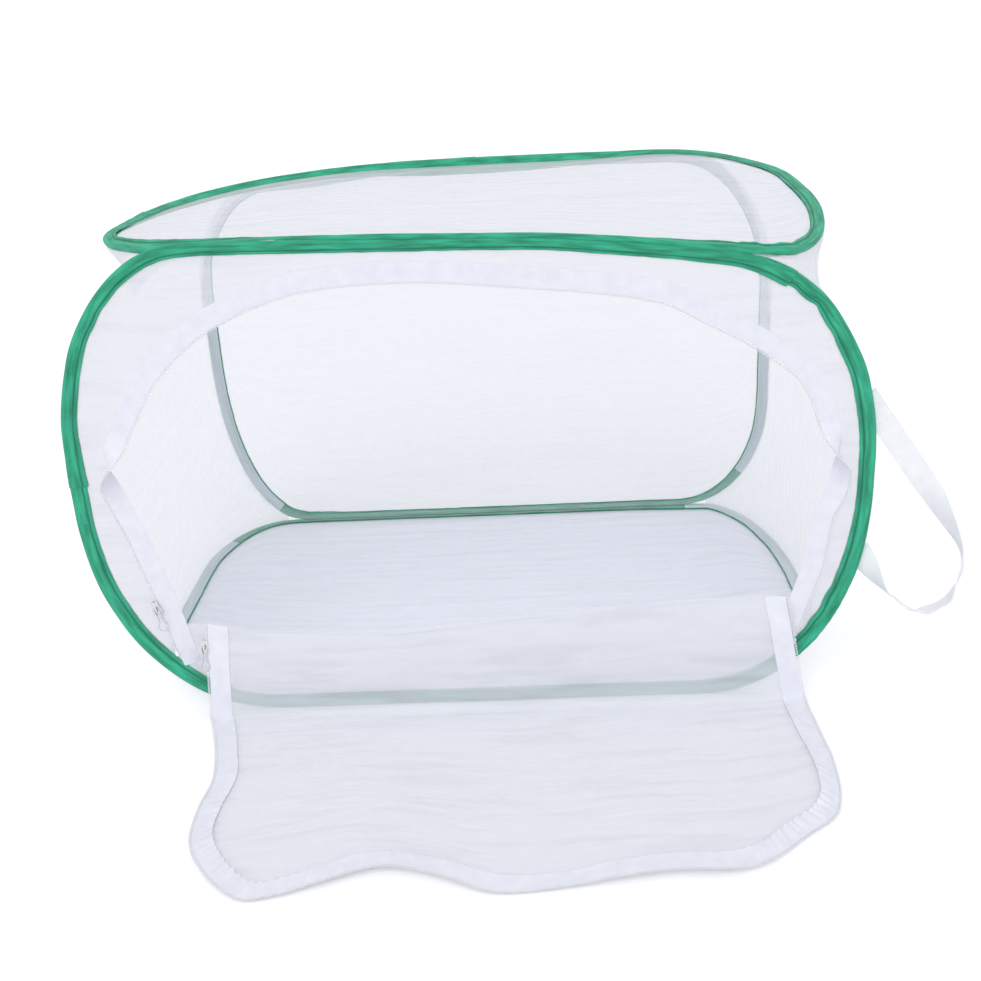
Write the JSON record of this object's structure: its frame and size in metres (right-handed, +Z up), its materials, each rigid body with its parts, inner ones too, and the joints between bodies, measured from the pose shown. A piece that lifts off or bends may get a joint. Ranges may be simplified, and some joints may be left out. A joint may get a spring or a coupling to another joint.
{
  "type": "insect cage",
  "caption": "Box-shaped pop-up netting cage with sprung wire panels in green binding, soft netted ends, a carry strap and a zipped door unzipped and folded down in front.",
  "frame": {"origin": "on the floor under the middle of the base panel", "axes": "+X along the cage to the right seen from its door, +Y from the door to the back, +Z up"},
  "size_m": [0.7238, 0.6489, 0.4076],
  "materials": {
    "binding": "woven polyester binding tape, folded and stitched",
    "netting": "fine knitted mesh",
    "zip_tape": "twill zip tape",
    "zip_coil": "nylon coil",
    "webbing": "flat woven webbing",
    "spring_steel": "drawn spring wire",
    "plated_zinc": "nickel-plated die casting and wire"
  },
  "bodies": {
    "base": {"base_binding": "binding", "base_wire": "spring_steel", "base_ferrule": "spring_steel", "base_net": "netting", "left_end": "netting", "right_end": "netting"},
    "front": {"front_binding": "binding", "front_wire": "spring_steel", "front_ferrule": "spring_steel", "front_net": "netting", "cage_zip_tape": "zip_tape", "cage_zip_coil": "zip_coil", "zip_stop_left": "zip_coil", "zip_stop_right": "zip_coil", "upper_slider": "plated_zinc", "carry_strap": "webbing"},
    "top": {"top_binding": "binding", "top_wire": "spring_steel", "top_ferrule": "spring_steel", "top_net": "netting"},
    "back": {"back_binding": "binding", "back_wire": "spring_steel", "back_ferrule": "spring_steel", "back_net": "netting"},
    "door_upper": {"door_net_hanging": "netting", "door_tape_left": "zip_tape", "door_tape_right": "zip_tape", "door_coil_left": "zip_coil", "door_coil_right": "zip_coil", "lower_slider": "plated_zinc"},
    "door_lower": {"door_net_floor": "netting", "door_tape_floor": "zip_tape", "door_coil_floor": "zip_coil"},
    "upper_pull": {"upper_pull": "plated_zinc"},
    "lower_pull": {"lower_pull": "plated_zinc"}
  },
  "joints": [
    {"name": "front_fold", "type": "hinge", "parent": "base", "child": "front", "pos_m": [0, -0.1992, 0.0044], "axis": [-1, 0, 0], "range_deg": [0, 86], "stiffness_Nm_per_rad": 0.6, "springref_deg": -28.65, "deforming": ["left_end", "right_end"]},
    {"name": "back_fold", "type": "hinge", "parent": "base", "child": "back", "pos_m": [0, 0.1992, 0.0044], "axis": [-1, 0, 0], "range_deg": [0, 86]},
    {"name": "top_fold", "type": "hinge", "parent": "front", "child": "top", "pos_m": [0, -0.2038, 0.3982], "axis": [-1, 0, 0], "range_deg": [-86, 0]},
    {"name": "door_fold", "type": "hinge", "parent": "front", "child": "door_upper", "pos_m": [0, -0.2041, 0.08], "axis": [-1, 0, 0], "range_deg": [0, 168.4]},
    {"name": "door_floor_fold", "type": "hinge", "parent": "door_upper", "child": "door_lower", "pos_m": [0, -0.2157, 0.001], "axis": [-1, 0, 0], "range_deg": [-81, 0]},
    {"name": "upper_pull_swing", "type": "hinge", "parent": "front", "child": "upper_pull", "pos_m": [-0.27053, -0.20845, 0.10317], "axis": [-0.9639, -0.1563, -0.2157], "range_deg": [0, 172]},
    {"name": "lower_pull_swing", "type": "hinge", "parent": "door_upper", "child": "lower_pull", "pos_m": [-0.23521, -0.20897, 0.06577], "axis": [-0.9987, 0, 0.0501], "range_deg": [0, 172]}
  ],
  "couplings": [
    {"joint": "back_fold", "follows": "front_fold", "ratio": 1},
    {"joint": "top_fold", "follows": "front_fold", "ratio": -1},
    {"joint": "door_floor_fold", "follows": "door_fold", "ratio": -0.4804}
  ]
}
